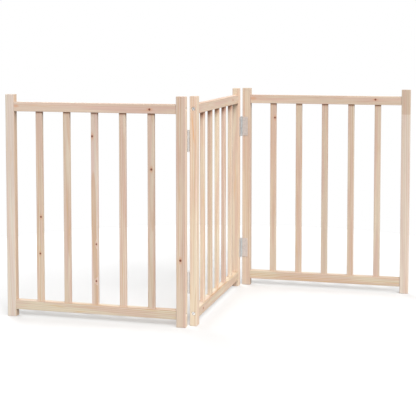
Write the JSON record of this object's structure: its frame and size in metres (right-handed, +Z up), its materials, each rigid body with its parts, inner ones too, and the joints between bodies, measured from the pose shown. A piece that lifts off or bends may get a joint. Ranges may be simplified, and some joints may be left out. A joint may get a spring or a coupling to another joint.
{
  "type": "folding pet gate",
  "caption": "Free-standing wooden pet gate of slatted panels, hinged together so that it folds flat or stands in a Z.",
  "frame": {"origin": "centre of the footprint, on the floor", "axes": "+Z up; the middle panel runs along Y with its front facing +X, and the left and right panels run along X, both facing -Y"},
  "size_m": [1.029, 0.548, 0.6],
  "materials": {
    "fir_wood": "planed and sanded, unfinished",
    "hinge_zinc": "bright zinc plate, satin",
    "screw_steel": "nickel plate, satin"
  },
  "bodies": {
    "left_panel": {"left_panel_outer_post": "fir_wood", "left_panel_inner_post": "fir_wood", "left_panel_top_rail": "fir_wood", "left_panel_bottom_rail": "fir_wood", "left_panel_slat_1": "fir_wood", "left_panel_slat_2": "fir_wood", "left_panel_slat_3": "fir_wood", "left_panel_slat_4": "fir_wood", "left_panel_slat_5": "fir_wood", "left_panel_top_left_rail_screw": "screw_steel", "left_panel_top_right_rail_screw": "screw_steel", "left_panel_bottom_left_rail_screw": "screw_steel", "left_panel_bottom_right_rail_screw": "screw_steel", "left_upper_hinge_swing_leaf": "hinge_zinc", "left_lower_hinge_swing_leaf": "hinge_zinc"},
    "middle_panel": {"middle_panel_left_post": "fir_wood", "middle_panel_right_post": "fir_wood", "middle_panel_top_rail": "fir_wood", "middle_panel_bottom_rail": "fir_wood", "middle_panel_slat_1": "fir_wood", "middle_panel_slat_2": "fir_wood", "middle_panel_slat_3": "fir_wood", "middle_panel_slat_4": "fir_wood", "middle_panel_slat_5": "fir_wood", "middle_panel_top_left_rail_screw": "screw_steel", "middle_panel_top_right_rail_screw": "screw_steel", "middle_panel_bottom_left_rail_screw": "screw_steel", "middle_panel_bottom_right_rail_screw": "screw_steel", "left_upper_hinge_fixed_leaf": "hinge_zinc", "left_upper_hinge_pin": "hinge_zinc", "left_lower_hinge_fixed_leaf": "hinge_zinc", "left_lower_hinge_pin": "hinge_zinc", "right_upper_hinge_fixed_leaf": "hinge_zinc", "right_upper_hinge_pin": "hinge_zinc", "right_lower_hinge_fixed_leaf": "hinge_zinc", "right_lower_hinge_pin": "hinge_zinc"},
    "right_panel": {"right_panel_inner_post": "fir_wood", "right_panel_outer_post": "fir_wood", "right_panel_top_rail": "fir_wood", "right_panel_bottom_rail": "fir_wood", "right_panel_slat_1": "fir_wood", "right_panel_slat_2": "fir_wood", "right_panel_slat_3": "fir_wood", "right_panel_slat_4": "fir_wood", "right_panel_slat_5": "fir_wood", "right_panel_top_left_rail_screw": "screw_steel", "right_panel_top_right_rail_screw": "screw_steel", "right_panel_bottom_left_rail_screw": "screw_steel", "right_panel_bottom_right_rail_screw": "screw_steel", "right_upper_hinge_swing_leaf": "hinge_zinc", "right_lower_hinge_swing_leaf": "hinge_zinc"}
  },
  "joints": [
    {"name": "left_fold", "type": "hinge", "parent": "middle_panel", "child": "left_panel", "pos_m": [-0.0125, -0.252, 0.3], "axis": [0, 0, 1], "range_deg": [-90, 90]},
    {"name": "right_fold", "type": "hinge", "parent": "middle_panel", "child": "right_panel", "pos_m": [0.0125, 0.252, 0.3], "axis": [0, 0, 1], "range_deg": [-90, 90]}
  ]
}
